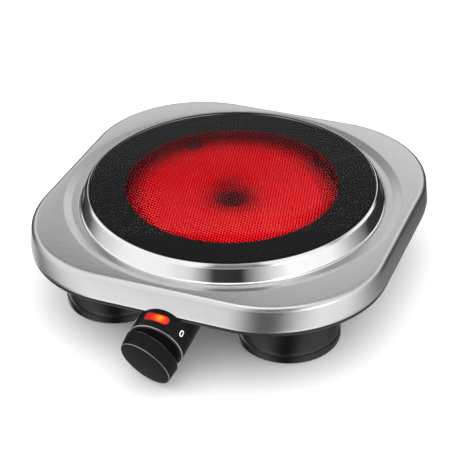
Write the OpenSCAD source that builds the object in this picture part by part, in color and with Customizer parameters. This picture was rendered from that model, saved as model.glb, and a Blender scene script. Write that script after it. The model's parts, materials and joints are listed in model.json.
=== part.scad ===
// Single infrared hot plate with a slant-cut control knob under the front edge.
// Frame: origin at the centre of the glass plate's top face, +Z up, the control
// knob towards -Y, +X to the right of a person who faces the knob.

/* [Housing] */
// Width of the square cover across its top
cover_w = 237.4; // [230:0.2:245]
// Corner radius of the cover's outline
cover_corner_r = 76; // [70:1:84]
// Height of the cover's flat top above the table
cover_h = 58.5; // [56:0.5:64]
// Depth of the cover's skirt
skirt_h = 16.8; // [16:0.1:18.5]
// How far the skirt leans out at its lower edge
skirt_flare = 1.2; // [0.6:0.1:1.6]
// Radius of the cover's rounded top edge
cover_edge_r = 4.5; // [3:0.5:5]
// Sheet thickness of the cover and base
sheet_t = 0.8; // [0.6:0.1:1]

/* [Hob] */
// Diameter of the glass plate
glass_d = 190; // [190:0.2:191]
// Thickness of the glass plate
glass_t = 4; // [3.8:0.1:4]
// Height of the glass above the cover's flat top
glass_rise = 9.4; // [9:0.1:10]
// Diameter of the clear heating window
window_d = 141.4; // [138:0.2:142]
// Depth of the step in the cover around the hob
step_h = 2.2; // [1.5:0.1:2.5]
// Radius of the outer fold of that step
step_r = 112; // [111:0.5:113]

/* [Heater] */
// Outer radius of the heater's metal dish
dish_r = 80; // [79:0.5:81]
// Depth of the heating coil's floor below the top of the glass
coil_floor = 15.5; // [14:0.5:17]
// Number of coil turns
coil_turns = 9; // [7:1:9]

/* [Feet] */
// Distance of the feet from the middle, side to side
foot_x = 60.5; // [58:0.5:63]
// Distance of the feet from the middle, front to back
foot_y = 58.5; // [56:0.5:61]
// Radius of a foot's base band
foot_r = 33.6; // [31:0.2:35]

/* [Control] */
// Angle that the control's axis dips towards the front
control_dip = 15; // [12:0.5:16]
// Angle that the control's axis turns to the left
control_turn = 4; // [0:0.5:5]
// Height of the control's axis below the cover's top, under the front edge
control_drop = 31.9; // [31:0.1:33]
// Outer radius of the control housing
housing_r = 18.25; // [18:0.05:18.5]
// Angle of the knob's slant-cut ends
knob_slant = 11.4; // [9:0.2:12]
// Clock direction that the slant opens to
slant_dir = 25; // [15:1:35]

/* [Hidden] */
$fn = 96;

// Heights, measured from the top of the glass
z_cover = -glass_rise;
z_skirt = z_cover - skirt_h;
z_table = z_cover - cover_h;
z_step = z_cover - step_h;
z_flange = z_step - 1.4;
pan_drop = 2.5;
z_pan = z_skirt - pan_drop;
z_floor = z_pan + sheet_t;
print_t = 0.12;
seal_t = 0.8;
z_ledge = -glass_t - print_t - seal_t;
z_coil = -coil_floor;
z_dish = -24.6;

// Outline of the cover, from its corner arcs' centres
half_w = cover_w / 2;
corner_c = half_w - cover_corner_r;
glass_r = glass_d / 2;
window_r = window_d / 2;

// The hob's clamped joint
trim_gap = 0.4;
trim_in = glass_r + trim_gap;
trim_foot_r = 101.2;
hole_lip_r = trim_foot_r + 0.4;
flange_in = 95.9;
carrier_wall = glass_r + 0.3;
clamp_r = 97.8;
clamp_n = 6;
clamp_shank = 1.2;
clamp_boss_r = 1.75;
clamp_boss_h = 2;

// Base pan, set in from the cover
pan_half = half_w - 1.7;
pan_lip = 2.4;
pan_corner = cover_corner_r - 1.7;
pan_wall_top = z_pan + 12.5;
bracket_at = 88;

// Feet
foot_band = 5.4;
foot_gap = 0.7;
z_foot = z_table + foot_gap;
foot_top_r = 24.5;
foot_wall = 2.6;
foot_top_t = 4;
foot_bolt = 2.4;
pad_in = 24;
pad_out = 31;
pad_deep = 1.4;

// Control: distances along its axis, from below the front edge, plus is forward
axis_y = -118;
collar_front = 11.15;
housing_back = -36;
housing_wall = 2;
knob_rear = 15.3;
knob_front = 25.9;
knob_rear_r = 18.8;
knob_front_r = 17.8;
knob_wall = 2.1;
hub_r = 16.55;
hub_rear = collar_front + 0.4;
hub_front = 19.8;
shaft_r = 3;
shaft_fit = 0.05;
bush_r = 4.9;
regulator_front = -4;
regulator_back = -30;
lamp_along = 2.9;
lamp_half_w = 3;
lamp_half_l = 8.2;

// Dial marks
mark_t = 0.15;
zero_dir = 29.8;
zero_w = 3;
zero_h = 4.4;
zero_stroke = 0.75;
level_first = -30;
level_step = -36;
level_n = 6;

// Fasteners' heads
head_r = 2.6;
head_h = 1.8;

// ---------- helpers ----------

function arc_points(cx, cy, r, from, to, n) =
    [for (i = [0:n]) let (a = from + (to - from) * i / n) [cx + r * cos(a), cy + r * sin(a)]];

// A square with rounded corners, given by half its side and its corner radius
module rounded_square(half, r) {
    c = half - r;
    square([2 * half, 2 * c], center = true);
    square([2 * c, 2 * half], center = true);
    for (sx = [-1, 1], sy = [-1, 1])
        translate([sx * c, sy * c]) circle(r);
}

// Carries a profile round the rounded square; its x is measured from the arc centres
module sweep_rim(c) {
    for (k = [0:3]) rotate([0, 0, 90 * k]) {
        translate([c, c, 0]) rotate_extrude(angle = 90) children();
        translate([c, c, 0]) rotate([90, 0, 0]) linear_extrude(2 * c) children();
    }
}

module at_corners(x, y) {
    for (sx = [-1, 1], sy = [-1, 1]) translate([sx * x, sy * y, 0]) children();
}

module around(n, r, start = 0) {
    for (k = [0:n - 1]) rotate([0, 0, start + 360 * k / n]) translate([r, 0, 0]) children();
}

module ring(r_out, r_in, z0, z1) {
    rotate_extrude() translate([r_in, z0]) square([r_out - r_in, z1 - z0]);
}

module tube_along(r_out, r_in, h) {
    difference() {
        cylinder(r = r_out, h = h);
        translate([0, 0, -1]) cylinder(r = r_in, h = h + 2);
    }
}

// The control's own frame: +Z forward along its axis, +Y up, +X to the right
module control_frame() {
    translate([0, axis_y, z_cover - control_drop])
        rotate([90 + control_dip, 0, -control_turn]) children();
}

// A plane across the control's axis, leaning by the knob's slant
module slanted(along) {
    translate([0, 0, along]) rotate([0, 0, slant_dir]) rotate([0, -knob_slant, 0]) children();
}

module half_space_below() {
    translate([-40, -40, -60]) cube([80, 80, 60]);
}

module pan_head_screw(shank, length, head = head_r) {
    cylinder(r = head, h = head_h);
    translate([0, 0, head_h]) cylinder(r = shank, h = length);
}

// A pill standing along +Y, as the lamp's window in the housing
module lamp_pill(grow, y0, y1) {
    r = lamp_half_w + grow;
    reach = lamp_half_l - lamp_half_w;
    translate([0, y1, lamp_along]) rotate([90, 0, 0]) {
        for (s = [-1, 1]) translate([s * reach, 0, 0]) cylinder(r = r, h = y1 - y0);
        translate([-reach, -r, 0]) cube([2 * reach, 2 * r, y1 - y0]);
    }
}

// ---------- wires ----------

wire_sides = 8;
wire_steps = 5;

function spline(a, b, c, d, t) =
    0.5 * (2 * b + (c - a) * t + (2 * a - 5 * b + 4 * c - d) * t * t
        + (3 * b - a - 3 * c + d) * t * t * t);

function smooth_path(p) = let (n = len(p)) [
    for (i = [0:n - 2], k = [0:wire_steps - 1])
        spline(p[max(i - 1, 0)], p[i], p[i + 1], p[min(i + 2, n - 1)], k / wire_steps),
    p[n - 1]
];

function unit(v) = v / norm(v);

function wire_ring(q, i, r) = let (
        n = len(q),
        t = unit(q[min(i + 1, n - 1)] - q[max(i - 1, 0)]),
        s = unit(cross(t, [0, 0, 1])),
        u = cross(s, t)
    ) [for (k = [0:wire_sides - 1]) let (a = 360 * k / wire_sides)
        q[i] + r * cos(a) * s + r * sin(a) * u];

module wire(points, r) {
    q = smooth_path(points);
    n = len(q);
    m = wire_sides;
    rings = [for (i = [0:n - 1]) each wire_ring(q, i, r)];
    sides = [for (i = [0:n - 2], k = [0:m - 1])
        [i * m + k, i * m + (k + 1) % m, (i + 1) * m + (k + 1) % m, (i + 1) * m + k]];
    first = [for (k = [m - 1:-1:0]) k];
    last = [for (k = [0:m - 1]) (n - 1) * m + k];
    polyhedron(rings, concat([first], sides, [last]));
}

wire_r = 1.3;
live_route = [[30, 89.9, -20], [43, 84, -20.5], [66, 74, -21], [86, 56, -21], [100, 30, -21],
    [105, 0, -21], [98, -36, -21], [80, -66, -21], [52, -88, -21], [27, -99, -20.5],
    [15, -98.6, -18.2], [9.6, -97.5, -17.4], [9.02, -96.55, -20.75]];
neutral_route = [[20, 90, -20], [32, 81, -21.5], [58, 69.5, -23], [77, 50, -23],
    [88, 26, -21], [96, 12, -18], [97, 7.6, -16.8], [93.35, 7, -16.4]];
switched_route = [[1.54, -96, -20.75], [1.9, -96.2, -17.8], [6, -93.4, -17], [18, -91, -20.4], [50, -82, -24],
    [73, -61, -24.4], [86, -34, -23], [95, -15, -19], [97, -7.6, -16.8], [93.35, -7, -16.4]];
limiter_route = [[-5.94, -95.5, -20.75], [-6.4, -96.2, -17.8], [-13, -98.4, -18],
    [-28, -98, -21.5], [-56, -84, -22], [-82, -58, -22],
    [-97, -30, -21.5], [-99.5, -13, -20], [-98, -5.6, -18], [-92.2, -5, -17.5]];
earth_route = [[-32, 97, -25.4], [-46, 95, -24], [-66, 84, -23.2], [-84, 66, -23.2],
    [-95, 48, -22], [-92, 36, -20], [-84, 30.6, -19], [-75.35, 27.4, -18.6]];

// ---------- cover and hob ----------

cover_rim = concat(
    [[cover_corner_r - cover_edge_r - 0.5, z_cover]],
    arc_points(cover_corner_r - cover_edge_r, z_cover - cover_edge_r, cover_edge_r, 90, 3, 10),
    [[cover_corner_r + skirt_flare, z_skirt + 0.4],
     [cover_corner_r + skirt_flare - 0.2, z_skirt],
     [cover_corner_r + skirt_flare - sheet_t + 0.1, z_skirt],
     [cover_corner_r + skirt_flare - sheet_t, z_skirt + 0.4]],
    arc_points(cover_corner_r - cover_edge_r, z_cover - cover_edge_r,
        cover_edge_r - sheet_t, 3, 90, 10),
    [[cover_corner_r - cover_edge_r - 0.5, z_cover - sheet_t]]);

step_in = step_r - 4.8;
lip_r = 1.4;
cover_step = concat(
    [[step_r + 1, z_cover], [step_r, z_cover], [step_in, z_step],
     [hole_lip_r + lip_r, z_step]],
    arc_points(hole_lip_r + lip_r, z_flange + 0.001, lip_r, 90, 180, 6),
    [[flange_in, z_flange], [flange_in, z_flange - sheet_t],
     [hole_lip_r + sheet_t, z_flange - sheet_t],
     [hole_lip_r + sheet_t, z_step - sheet_t - 0.3],
     [hole_lip_r + sheet_t + 0.3, z_step - sheet_t],
     [step_in - 0.2, z_step - sheet_t], [step_r - 0.2, z_cover - sheet_t],
     [step_r + 1, z_cover - sheet_t]]);

module top_cover() color("silver") difference() {
    union() {
        sweep_rim(corner_c) polygon(cover_rim);
        translate([0, 0, z_cover - sheet_t]) linear_extrude(sheet_t) difference() {
            rounded_square(half_w - cover_edge_r, cover_corner_r - cover_edge_r);
            circle(step_r + 0.5);
        }
        rotate_extrude() polygon(cover_step);
    }
    around(clamp_n, clamp_r, 30) translate([0, 0, z_flange - 2]) cylinder(r = 1.5, h = 4);
    control_frame() translate([0, 0, -10]) cylinder(r = housing_r + 0.3, h = 40);
}

trim_profile = [[95.95, z_flange], [trim_foot_r, z_flange], [trim_foot_r, z_flange + 0.7],
    [97.8, -2.1], [97.4, -1.6], [97.2, -0.8], [96.8, -0.35], [96.3, -0.2], [95.8, -0.3],
    [trim_in, -0.7], [trim_in, -4.4], [trim_in + 0.6, -4.4], [trim_in + 0.7, -1.2],
    [96.4, -1.1], [96.6, -1.8], [97, -2.4], [100.2, z_flange + 0.8], [95.95, z_flange + 0.8]];

module trim_ring() color("gainsboro") difference() {
    union() {
        rotate_extrude() polygon(trim_profile);
        around(clamp_n, clamp_r, 30) translate([0, 0, z_flange])
            cylinder(r = clamp_boss_r, h = clamp_boss_h);
    }
    around(clamp_n, clamp_r, 30) translate([0, 0, z_flange - 1])
        cylinder(r = clamp_shank + shaft_fit, h = 5);
}

module glass_plate() color([0.08, 0.08, 0.08]) rotate_extrude()
    polygon([[0, -glass_t], [glass_r - 0.5, -glass_t], [glass_r, -glass_t + 0.5],
        [glass_r, -0.6], [glass_r - 0.6, 0], [0, 0]]);

module mask_print() color([0.14, 0.14, 0.14])
    ring(glass_r - 0.6, window_r, -glass_t - print_t, -glass_t);

module mesh_print() color("darkred")
    translate([0, 0, -glass_t - print_t]) cylinder(r = window_r, h = print_t);

module glass_seal() color("dimgray")
    ring(glass_r - 0.6, glass_r - 8, z_ledge, z_ledge + seal_t);

module carrier_ring() color("silver") difference() {
    union() {
        ring(carrier_wall, glass_r - 9, z_ledge - sheet_t, z_ledge);
        ring(carrier_wall, carrier_wall - sheet_t, z_flange - 2 * sheet_t, z_ledge);
        ring(100.6, carrier_wall - sheet_t, z_flange - 2 * sheet_t, z_flange - sheet_t);
    }
    around(clamp_n, clamp_r, 30) translate([0, 0, z_flange - 3]) cylinder(r = 1.4, h = 4);
}

module carrier_screws() color("lightgray")
    around(clamp_n, clamp_r, 30) translate([0, 0, z_flange - 2 * sheet_t - head_h])
        pan_head_screw(clamp_shank, 4.2, 2.2);

// ---------- radiant heater ----------

dish_wall = 0.6;
rim_in = window_r + 0.4;
heater_top = -glass_t - print_t - 0.1;

module heater_dish() color("lightsteelblue") difference() {
    translate([0, 0, z_dish]) cylinder(r = dish_r, h = 18.4);
    translate([0, 0, z_dish + dish_wall]) cylinder(r = dish_r - dish_wall, h = 30);
    translate([-dish_r, 0, -10]) rotate([0, 90, 0]) cylinder(r = 2.4, h = 8, center = true);
}

module insulation_base() color("antiquewhite")
    translate([0, 0, z_dish + dish_wall])
        cylinder(r = dish_r - dish_wall - 0.1, h = z_coil - z_dish - dish_wall);

module insulation_rim() color("wheat") difference() {
    ring(dish_r - dish_wall - 0.1, rim_in, z_coil, heater_top);
    translate([-dish_r, 0, -10]) rotate([0, 90, 0]) cylinder(r = 2.4, h = 30, center = true);
}

coil_in = 14;
coil_gap = 6;
ribbon_t = 0.6;
ribbon_h = 2.8;
coil_mouth = 10;

module heating_ribbon() color("orangered") translate([0, 0, z_coil]) {
    difference() {
        for (k = [0:coil_turns - 1]) {
            r = coil_in + coil_gap * k;
            tube_along(r + ribbon_t / 2, r - ribbon_t / 2, ribbon_h);
        }
        translate([0, -coil_mouth / 2, -1]) cube([dish_r, coil_mouth, ribbon_h + 2]);
    }
    for (k = [0:coil_turns - 2]) {
        r = coil_in + coil_gap * k;
        side = k % 2 == 0 ? 1 : -1;
        x0 = sqrt(r * r - coil_mouth * coil_mouth / 4);
        x1 = sqrt(pow(r + coil_gap, 2) - coil_mouth * coil_mouth / 4);
        translate([x0, side * coil_mouth / 2 - ribbon_t / 2, 0])
            cube([x1 - x0, ribbon_t, ribbon_h]);
    }
}

limiter_x = -92;
limiter_l = 10.2;

module limiter_switch() color("ivory") difference() {
    translate([limiter_x, -9, -20]) cube([limiter_l, 18, 13.7]);
    translate([limiter_x + limiter_l, 0, -10]) rotate([0, 90, 0])
        cylinder(r = 2, h = 8, center = true);
}

module limiter_probe() color("gray")
    translate([limiter_x + limiter_l - 3.9, 0, -10]) rotate([0, 90, 0])
        cylinder(r = 1.9, h = 17);

module heater_terminal() color("ivory") union() {
    translate([81.6, -12, -22]) cube([9.4, 24, 11]);
    for (s = [-1, 1]) translate([90, s * 7 - 2, -16.6]) cube([3.2, 4, 0.8]);
}

spring_n = 3;
spring_r = 50;
spring_l = 24;
spring_rise = z_dish - z_floor - 0.55;
spring_t = 0.5;

function spring_height(x) = spring_rise * (1 + cos(360 * x / spring_l)) / 2;

module heater_springs() color("silver") around(spring_n, spring_r)
    translate([0, 5, z_floor]) rotate([90, 0, 0]) linear_extrude(10) difference() {
        polygon(concat(
            [[-18, spring_t], [-18, 0]],
            [for (i = [-10:10]) let (x = spring_l * i / 20) [x, spring_height(x)]],
            [[18, 0], [18, spring_t]],
            [for (i = [10:-1:-10]) let (x = spring_l * i / 20) [x, spring_height(x) + spring_t]]));
    }

module spring_rivets() color("gray") around(spring_n, spring_r)
    for (s = [-1, 1]) translate([s * 15, 0, 0]) {
        translate([0, 0, z_floor + spring_t]) cylinder(r = 2, h = 0.8);
        translate([0, 0, z_pan - 0.8]) cylinder(r = 2, h = 0.8);
    }

// ---------- base ----------

module vent_slots(side_n) {
    for (k = [-side_n:side_n]) translate([9 * k, 0, z_pan - 1]) {
        for (s = [-1, 1]) translate([0, 14 * s, 0]) cylinder(r = 1.6, h = 4);
        translate([-1.6, -14, 0]) cube([3.2, 28, 4]);
    }
}

module base_plate() color([0.12, 0.12, 0.12]) difference() {
    union() {
        translate([0, 0, z_pan]) linear_extrude(sheet_t)
            rounded_square(pan_half + pan_lip, pan_corner + pan_lip);
        translate([0, 0, z_pan]) linear_extrude(pan_wall_top - z_pan) difference() {
            rounded_square(pan_half, pan_corner);
            rounded_square(pan_half - sheet_t, pan_corner - sheet_t);
        }
    }
    at_corners(foot_x, foot_y) translate([0, 0, z_pan - 1]) cylinder(r = foot_bolt + 0.2, h = 3);
    at_corners(bracket_at, bracket_at) translate([0, 0, z_pan - 1]) cylinder(r = 2.2, h = 3);
    for (s = [-1, 1]) translate([s * ear_x, ear_y, z_pan - 1]) cylinder(r = 1.8, h = 3);
    translate([0, gland_y, z_pan - 1]) cylinder(r = gland_thread_r + 0.15, h = 3);
    vent_slots(3);
    for (s = [-1, 1]) translate([0, 45 * s, 0]) vent_slots(1);
    control_frame() translate([0, 0, housing_back - 0.3])
        cylinder(r = housing_r + 0.3, h = 60);
}

module cover_bracket() difference() {
    union() {
        translate([-8, -7, z_floor]) cube([14.3, 14, sheet_t]);
        translate([5.5, -7, z_floor]) cube([sheet_t, 14, z_cover - sheet_t - z_floor]);
        translate([-4, -7, z_cover - 2 * sheet_t]) cube([10.3, 14, sheet_t]);
        translate([0, 0, z_floor]) cylinder(r = 4, h = 4);
    }
    translate([0, 0, z_floor - 1]) cylinder(r = 1.85, h = 8);
}

module at_brackets() {
    for (k = [0:3]) rotate([0, 0, 45 + 90 * k]) translate([bracket_at * sqrt(2), 0, 0]) children();
}

module cover_brackets() color("silver") at_brackets() cover_bracket();

module cover_screws() color("lightgray") at_brackets()
    translate([0, 0, z_pan - head_h]) pan_head_screw(1.8, 5.2, 3.6);

// ---------- feet ----------

dome_r = foot_r - 0.4;
dome_turn = acos(foot_top_r / dome_r);
dome_rise = (z_pan - z_foot - foot_band) / sin(dome_turn);
foot_dome = [for (i = [0:12]) let (t = dome_turn * i / 12)
    [dome_r * cos(t), z_foot + foot_band + dome_rise * sin(t)]];

foot_outside = concat(
    [[foot_r - 0.6, z_foot], [foot_r, z_foot + 0.6], [foot_r, z_foot + foot_band - 0.8],
     [foot_r - 0.3, z_foot + foot_band - 0.3]],
    foot_dome);

module foot() color([0.07, 0.07, 0.07]) difference() {
    rotate_extrude() polygon(concat([[0, z_foot]], foot_outside, [[0, z_pan]]));
    translate([0, 0, z_foot - 1]) cylinder(r = foot_top_r - foot_wall, h = z_pan - z_foot + 1 - foot_top_t);
    ring(pad_out, pad_in, z_foot - 1, z_foot + pad_deep);
    translate([0, 0, z_pan - 10]) cylinder(r = foot_bolt + 0.2, h = 20);
}

module foot_pad() color([0.03, 0.03, 0.03]) ring(pad_out - 0.05, pad_in + 0.05, z_table, z_foot + pad_deep);

module foot_at(sx, sy) {
    translate([sx * foot_x, sy * foot_y, 0]) children();
}

module foot_screws() color("lightgray") at_corners(foot_x, foot_y) {
    translate([0, 0, z_floor]) cylinder(r = 4.4, h = 2.2);
    translate([0, 0, z_pan - 11]) cylinder(r = foot_bolt, h = 11 + sheet_t);
}

module foot_nuts() color("silver") at_corners(foot_x, foot_y)
    translate([0, 0, z_pan - foot_top_t - 4]) difference() {
        cylinder(r = 4.6, h = 4, $fn = 6);
        translate([0, 0, -1]) cylinder(r = foot_bolt + shaft_fit, h = 6);
    }

// ---------- control ----------

ear_x = 23.5;
ear_y = -95;
ear_t = 2.5;
regulator_w = 24;
regulator_h = 20;

module control_housing() color([0.1, 0.1, 0.1]) difference() {
    union() {
        control_frame() translate([0, 0, housing_back])
            cylinder(r = housing_r, h = collar_front - housing_back);
        translate([-29, -106, z_pan - ear_t]) cube([58, 22, ear_t]);
    }
    control_frame() translate([0, 0, housing_back + housing_wall])
        cylinder(r = housing_r - housing_wall, h = collar_front - housing_back - 2 * housing_wall);
    control_frame() translate([0, 0, 5]) cylinder(r = bush_r + 0.2, h = 10);
    control_frame() lamp_pill(0.1, 10, 25);
    translate([-32, pan_wall_in, z_pan]) cube([64, 60, 30]);
    for (s = [-1, 1]) translate([s * ear_x, ear_y, z_pan - 6]) cylinder(r = 1.7, h = 8);
}

pan_wall_in = -pan_half + sheet_t + 0.4;

module housing_screws() color("lightgray") for (s = [-1, 1])
    translate([s * ear_x, ear_y, z_pan - ear_t - head_h]) pan_head_screw(1.5, 6.2);

module housing_nuts() color("silver") for (s = [-1, 1])
    translate([s * ear_x, ear_y, z_floor]) difference() {
        cylinder(r = 3, h = 2.2, $fn = 6);
        translate([0, 0, -1]) cylinder(r = 1.5 + shaft_fit, h = 6);
    }

module lamp_lens() color("red") control_frame() intersection() {
    lamp_pill(0, 10, 25);
    translate([0, 0, lamp_along - 6]) tube_along(housing_r + 0.35, housing_r - 3, 12);
}

lamp_y = 11.4;

module neon_lamp() color("orange") control_frame() translate([0, lamp_y, lamp_along]) {
    rotate([0, 90, 0]) cylinder(r = 2.4, h = 11, center = true);
    translate([-5.5, 0, 0]) sphere(r = 2.4);
    for (s = [-1, 1]) translate([5.4, 0.9 * s, 0]) rotate([0, 90, 0]) cylinder(r = 0.3, h = 4, $fn = 16);
}

module lamp_holder() color("dimgray") control_frame() difference() {
    translate([-9, 5.4, lamp_along - 4]) cube([14, 5, 8]);
    translate([0, lamp_y, lamp_along]) rotate([0, 90, 0]) cylinder(r = 2.5, h = 40, center = true);
    translate([0, 0, -10]) cylinder(r = bush_r + 0.3, h = 40);
}

module level_mark(k) {
    half = 0.6 + 0.24 * k;
    translate([-0.4, -half, 0]) cube([0.8, 2 * half, 30]);
}

module on_dial(dir) {
    translate([0, 0, 3.4]) rotate([0, 0, dir]) rotate([0, 90, 0]) rotate([0, 0, 90]) children();
}

module zero_prism(inset) {
    r = zero_w / 2 - inset;
    reach = zero_h / 2 - zero_w / 2;
    for (s = [-1, 1]) translate([0, s * reach, 0]) cylinder(r = r, h = 30);
    translate([-r, -reach, 0]) cube([2 * r, 2 * reach, 30]);
}

module dial_marks() color("white") control_frame() intersection() {
    translate([0, 0, -4]) tube_along(housing_r + mark_t, housing_r, 14);
    union() {
        on_dial(zero_dir) difference() {
            zero_prism(0);
            translate([0, 0, -1]) zero_prism(zero_stroke);
        }
        for (k = [1:level_n]) on_dial(level_first + level_step * (k - 1)) level_mark(k);
    }
}

module regulator_body() color("ivory") control_frame() difference() {
    union() {
        translate([-regulator_w / 2, -regulator_h / 2, regulator_back])
            cube([regulator_w, regulator_h, regulator_front - regulator_back]);
        translate([0, 0, regulator_front]) cylinder(r = bush_r, h = 18.2);
    }
    translate([0, 0, -20]) cylinder(r = shaft_r + shaft_fit, h = 60);
}

module regulator_tabs() color("silver") control_frame()
    for (x = [-7.5, 0, 7.5]) translate([x - 2, regulator_h / 2, -27]) cube([4, 4, 0.8]);

module regulator_shaft() color("silver") control_frame() difference() {
    translate([0, 0, -19.8]) cylinder(r = shaft_r, h = 41);
    translate([-5, shaft_r - 1, 14.6]) cube([10, 4, 12]);
}

module regulator_nut() color("silver") control_frame() translate([0, 0, collar_front]) difference() {
    cylinder(r = 8, h = 2.4, $fn = 6);
    translate([0, 0, -1]) cylinder(r = bush_r + shaft_fit, h = 6);
}

module knob_hub() color([0.08, 0.08, 0.08]) control_frame() difference() {
    union() {
        translate([0, 0, hub_rear]) cylinder(r = hub_r, h = hub_front - hub_rear);
        translate([0, 0, hub_rear]) cylinder(r = 7, h = 22 - hub_rear);
    }
    translate([0, 0, hub_rear - 1]) cylinder(r = 9, h = 4.4);
    difference() {
        translate([0, 0, hub_rear - 1]) cylinder(r = shaft_r + shaft_fit, h = 21.4 - hub_rear + 1);
        translate([-5, shaft_r - 1 + shaft_fit, 15]) cube([10, 4, 12]);
    }
}

module knob_shell() color([0.12, 0.12, 0.12]) control_frame() difference() {
    translate([0, 0, 8]) cylinder(r1 = knob_rear_r, r2 = knob_front_r, h = 24);
    slanted(knob_rear) half_space_below();
    slanted(knob_front) rotate([180, 0, 0]) half_space_below();
    difference() {
        cylinder(r = hub_r + 0.05, h = 40);
        slanted(knob_front - knob_wall) rotate([180, 0, 0]) half_space_below();
    }
}

// ---------- mains connection ----------

gland_y = 98;
gland_thread_r = 7.8;
gland_bore = 3.7;
block_x = 25;

module mains_block() color("ivory") difference() {
    translate([block_x - 15, 91, z_floor]) cube([30, 16, 10]);
    for (x = [-10, 0, 10], y = [4, 12]) translate([block_x + x, 91 + y, z_floor + 4])
        cylinder(r = 1.8, h = 10);
}

module mains_block_screws() color("gold")
    for (x = [-10, 0, 10], y = [4, 12]) translate([block_x + x, 91 + y, z_floor + 4])
        cylinder(r = 1.7, h = 5);

module earth_tag() color("gold") difference() {
    translate([-36, 94, z_floor]) cube([16, 7, 0.8]);
    translate([-24, 97.5, z_floor - 1]) cylinder(r = 2.1, h = 4);
}

module earth_screw() color("gold") translate([-24, 97.5, z_floor]) {
    cylinder(r = 2, h = 0.8);
    translate([0, 0, 0.8]) cylinder(r = 3.6, h = 2);
}

module cord_gland() color([0.1, 0.1, 0.1]) translate([0, gland_y, 0]) difference() {
    union() {
        translate([0, 0, z_pan]) cylinder(r = gland_thread_r, h = 7);
        translate([0, 0, z_pan - 5]) cylinder(r = 10.5, h = 5, $fn = 6);
        translate([0, 0, z_pan - 17]) cylinder(r1 = 7, r2 = 9, h = 12);
    }
    translate([0, 0, z_pan - 20]) cylinder(r = gland_bore, h = 40);
}

module gland_nut() color([0.1, 0.1, 0.1]) translate([0, gland_y, z_floor]) difference() {
    cylinder(r = 9.6, h = 3.6, $fn = 6);
    translate([0, 0, -1]) cylinder(r = gland_thread_r + shaft_fit, h = 8);
}

top_cover();
trim_ring();
glass_plate();
mask_print();
mesh_print();
glass_seal();
carrier_ring();
carrier_screws();
heater_dish();
insulation_base();
insulation_rim();
heating_ribbon();
limiter_switch();
limiter_probe();
heater_terminal();
heater_springs();
spring_rivets();
base_plate();
cover_brackets();
cover_screws();
foot_at(-1, -1) foot();  // foot_front_left
foot_at(1, -1) foot();  // foot_front_right
foot_at(-1, 1) foot();  // foot_rear_left
foot_at(1, 1) foot();  // foot_rear_right
foot_at(-1, -1) foot_pad();  // pad_front_left
foot_at(1, -1) foot_pad();  // pad_front_right
foot_at(-1, 1) foot_pad();  // pad_rear_left
foot_at(1, 1) foot_pad();  // pad_rear_right
foot_screws();
foot_nuts();
control_housing();
housing_screws();
housing_nuts();
lamp_lens();
neon_lamp();
lamp_holder();
dial_marks();
regulator_body();
regulator_tabs();
regulator_shaft();
regulator_nut();
knob_hub();
knob_shell();
mains_block();
mains_block_screws();
earth_tag();
earth_screw();
cord_gland();
gland_nut();
color("saddlebrown") wire(live_route, wire_r);  // wire_live
color("steelblue") wire(neutral_route, wire_r);  // wire_neutral
color("black") wire(switched_route, wire_r);  // wire_switched
color("white") wire(limiter_route, wire_r);  // wire_limiter
color("yellowgreen") wire(earth_route, wire_r);  // wire_earth
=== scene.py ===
"""Infrared hot plate: the looks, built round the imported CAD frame. Everything is in metres."""
import json
from math import acos, atan2, cos, pi, radians, sin, sqrt, tan

import bmesh
import bpy
from mathutils import Matrix, Vector


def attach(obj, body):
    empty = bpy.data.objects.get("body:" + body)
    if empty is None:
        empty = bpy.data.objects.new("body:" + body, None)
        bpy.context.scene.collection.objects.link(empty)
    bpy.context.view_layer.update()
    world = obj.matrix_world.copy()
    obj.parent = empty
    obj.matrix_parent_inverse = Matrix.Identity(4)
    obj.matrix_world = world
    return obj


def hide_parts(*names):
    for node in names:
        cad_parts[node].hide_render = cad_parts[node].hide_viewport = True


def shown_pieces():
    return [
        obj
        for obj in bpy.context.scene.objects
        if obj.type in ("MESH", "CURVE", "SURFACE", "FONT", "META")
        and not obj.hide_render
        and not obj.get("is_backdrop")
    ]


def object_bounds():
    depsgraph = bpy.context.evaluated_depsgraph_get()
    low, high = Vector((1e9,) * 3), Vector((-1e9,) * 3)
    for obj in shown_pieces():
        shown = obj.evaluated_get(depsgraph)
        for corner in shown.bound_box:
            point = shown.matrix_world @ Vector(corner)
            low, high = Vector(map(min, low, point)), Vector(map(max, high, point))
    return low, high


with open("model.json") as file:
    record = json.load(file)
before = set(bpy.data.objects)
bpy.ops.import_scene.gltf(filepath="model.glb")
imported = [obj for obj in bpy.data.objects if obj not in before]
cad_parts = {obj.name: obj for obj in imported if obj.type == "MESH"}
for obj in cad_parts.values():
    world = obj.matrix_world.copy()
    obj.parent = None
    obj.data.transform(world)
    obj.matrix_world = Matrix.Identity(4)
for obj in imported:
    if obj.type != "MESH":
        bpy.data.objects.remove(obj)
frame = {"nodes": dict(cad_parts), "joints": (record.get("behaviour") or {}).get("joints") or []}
cad_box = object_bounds()
nodes = frame["nodes"]
MM = 0.001

# ---------------------------------------------------------------- sizes

# Cover, as the CAD's square with rounded corners
COVER_HALF = 118.7 * MM
COVER_CORNER = 76 * MM
COVER_EDGE = 4.5 * MM
SKIRT_FLARE = 1.2 * MM
SHEET = 0.8 * MM
GLASS_RISE = 9.4 * MM
SKIRT_DEEP = 16.8 * MM
STEP_DEEP = 2.2 * MM
STEP_R = 112 * MM
STEP_IN = 107.2 * MM
FLANGE_R = 95.9 * MM
LIP_R = 101.6 * MM

GLASS_R = 95 * MM
GLASS_THICK = 4 * MM
GLASS_IOR = 1.5
# Share of the glass that only bends light, and mirrors nothing
GLASS_DULL = 0.86
WINDOW_R = 70.7 * MM
COIL_DEEP = 15.5 * MM

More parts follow.
